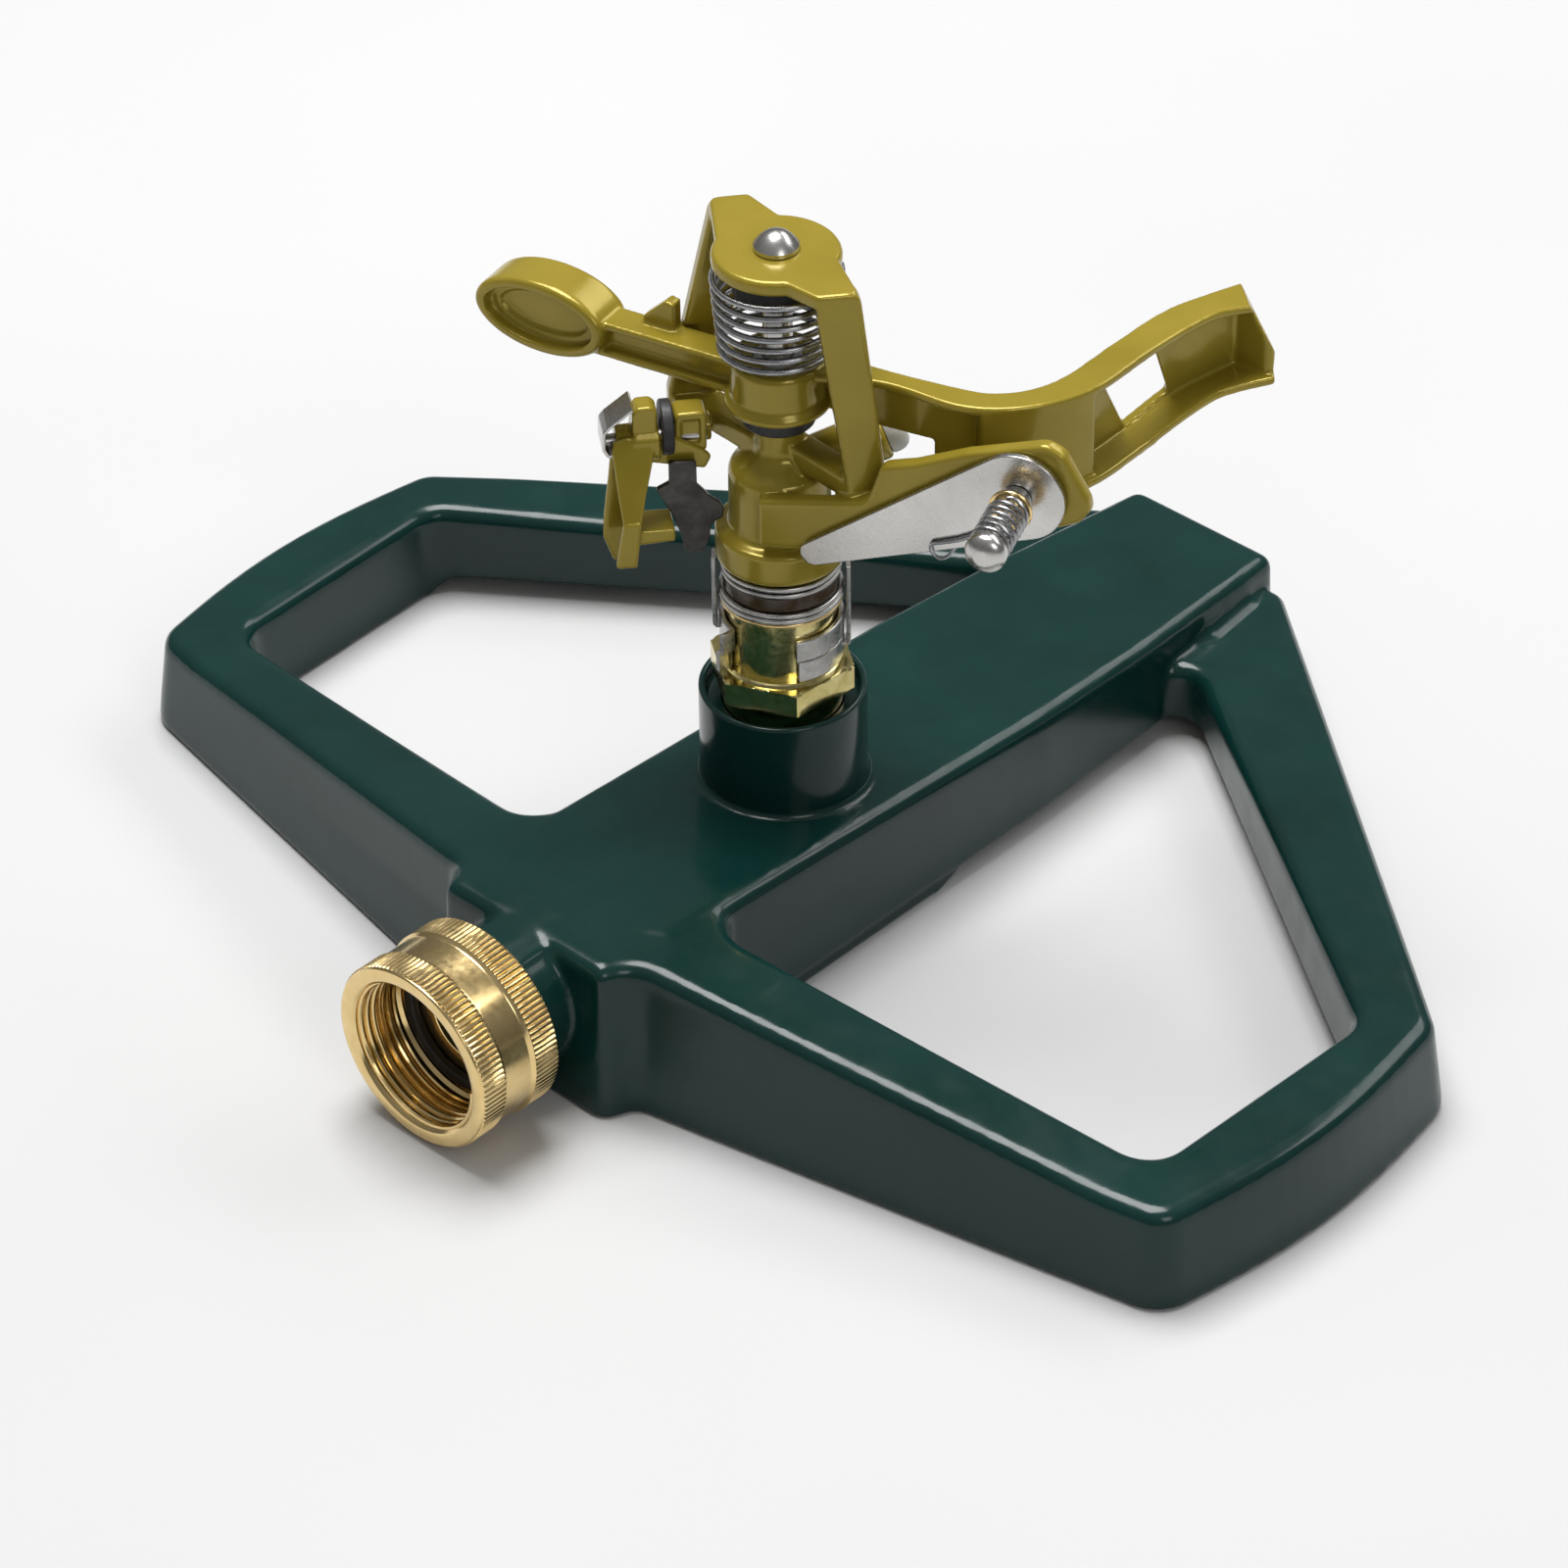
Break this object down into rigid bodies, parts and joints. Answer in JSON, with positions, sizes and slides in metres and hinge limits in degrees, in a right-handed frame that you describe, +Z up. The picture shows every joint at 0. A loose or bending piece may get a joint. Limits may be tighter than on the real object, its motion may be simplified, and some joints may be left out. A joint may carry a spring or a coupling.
{
  "type": "impact sprinkler",
  "caption": "Impact lawn sprinkler: a swivelling head with a sprung striking arm and jet deflector on a low cast base with two open wings and a threaded swivel hose inlet.",
  "frame": {"origin": "on the ground, on the axis of the riser that the head turns on", "axes": "+X to the right wing, +Y towards the back of the base with the hose inlet facing -Y, +Z up along the riser"},
  "size_m": [0.25, 0.2042, 0.136],
  "materials": {
    "green_enamel": "gloss",
    "olive_enamel": "gloss",
    "bright_brass": "satin, machined",
    "yellow_zinc": "bright yellow zinc plating",
    "sheet_steel": "rolled sheet, slightly scuffed",
    "polished_steel": "polished with a fine grain",
    "spring_steel": "drawn wire",
    "dark_steel": "dark oxide",
    "black_rubber": "matt",
    "brown_rubber": "matt, dusty",
    "white_plastic": "satin"
  },
  "bodies": {
    "base": {"base_casting": "green_enamel", "inlet_nipple": "bright_brass", "hose_washer": "black_rubber", "bearing_nut": "yellow_zinc", "coupling_clip_ring": "spring_steel"},
    "coupling": {"hose_coupling": "bright_brass"},
    "upper_stop": {"trip_collar_upper": "sheet_steel"},
    "lower_stop": {"trip_collar_lower": "sheet_steel"},
    "head": {"swivel_stem": "bright_brass", "stem_washer": "white_plastic", "stem_seal": "black_rubber", "thrust_washer": "bright_brass", "cap_ring": "sheet_steel", "bearing_seal": "brown_rubber", "spring_cup": "sheet_steel", "bearing_spring": "spring_steel", "head_body": "olive_enamel", "nozzle": "white_plastic", "rear_plug": "bright_brass", "fulcrum_pin": "polished_steel", "arm_washer": "black_rubber", "spring_cap": "black_rubber", "deflector_pin": "polished_steel", "deflector_washer": "bright_brass", "deflector_spring": "spring_steel"},
    "arm": {"impact_arm": "olive_enamel", "arm_bushing": "white_plastic", "arm_spring": "spring_steel"},
    "deflector": {"deflector_plate": "polished_steel"},
    "trip": {"trip_shaft": "sheet_steel", "trip_lever": "olive_enamel", "trip_pawl": "dark_steel", "trip_washer": "black_rubber", "trip_spring": "polished_steel"}
  },
  "joints": [
    {"name": "head_swivel", "type": "hinge", "parent": "base", "child": "head", "pos_m": [0, 0, 0.055], "axis": [0, 0, 1], "continuous": true},
    {"name": "coupling_swivel", "type": "hinge", "parent": "base", "child": "coupling", "pos_m": [0, -0.081, 0.0178], "axis": [0, -1, 0], "continuous": true},
    {"name": "upper_stop_turn", "type": "hinge", "parent": "base", "child": "upper_stop", "pos_m": [0, 0, 0.061], "axis": [0, 0, 1], "range_deg": [-140, 130]},
    {"name": "lower_stop_turn", "type": "hinge", "parent": "base", "child": "lower_stop", "pos_m": [0, 0, 0.055], "axis": [0, 0, 1], "range_deg": [-130, 140]},
    {"name": "arm_swing", "type": "hinge", "parent": "head", "child": "arm", "pos_m": [0, 0, 0.107], "axis": [0, 0, 1], "range_deg": [0, 85], "stiffness_Nm_per_rad": 0.02, "springref_deg": -34.38, "deforming": ["arm_spring"]},
    {"name": "deflector_turn", "type": "hinge", "parent": "head", "child": "deflector", "pos_m": [0.04618, 0.00765, 0.102], "axis": [0.3907, -0.9205, 0], "range_deg": [-12, 60]},
    {"name": "trip_swing", "type": "hinge", "parent": "head", "child": "trip", "pos_m": [-0.01591, -0.01549, 0.0962], "axis": [0.6157, 0.788, 0], "range_deg": [-22, 12]}
  ]
}
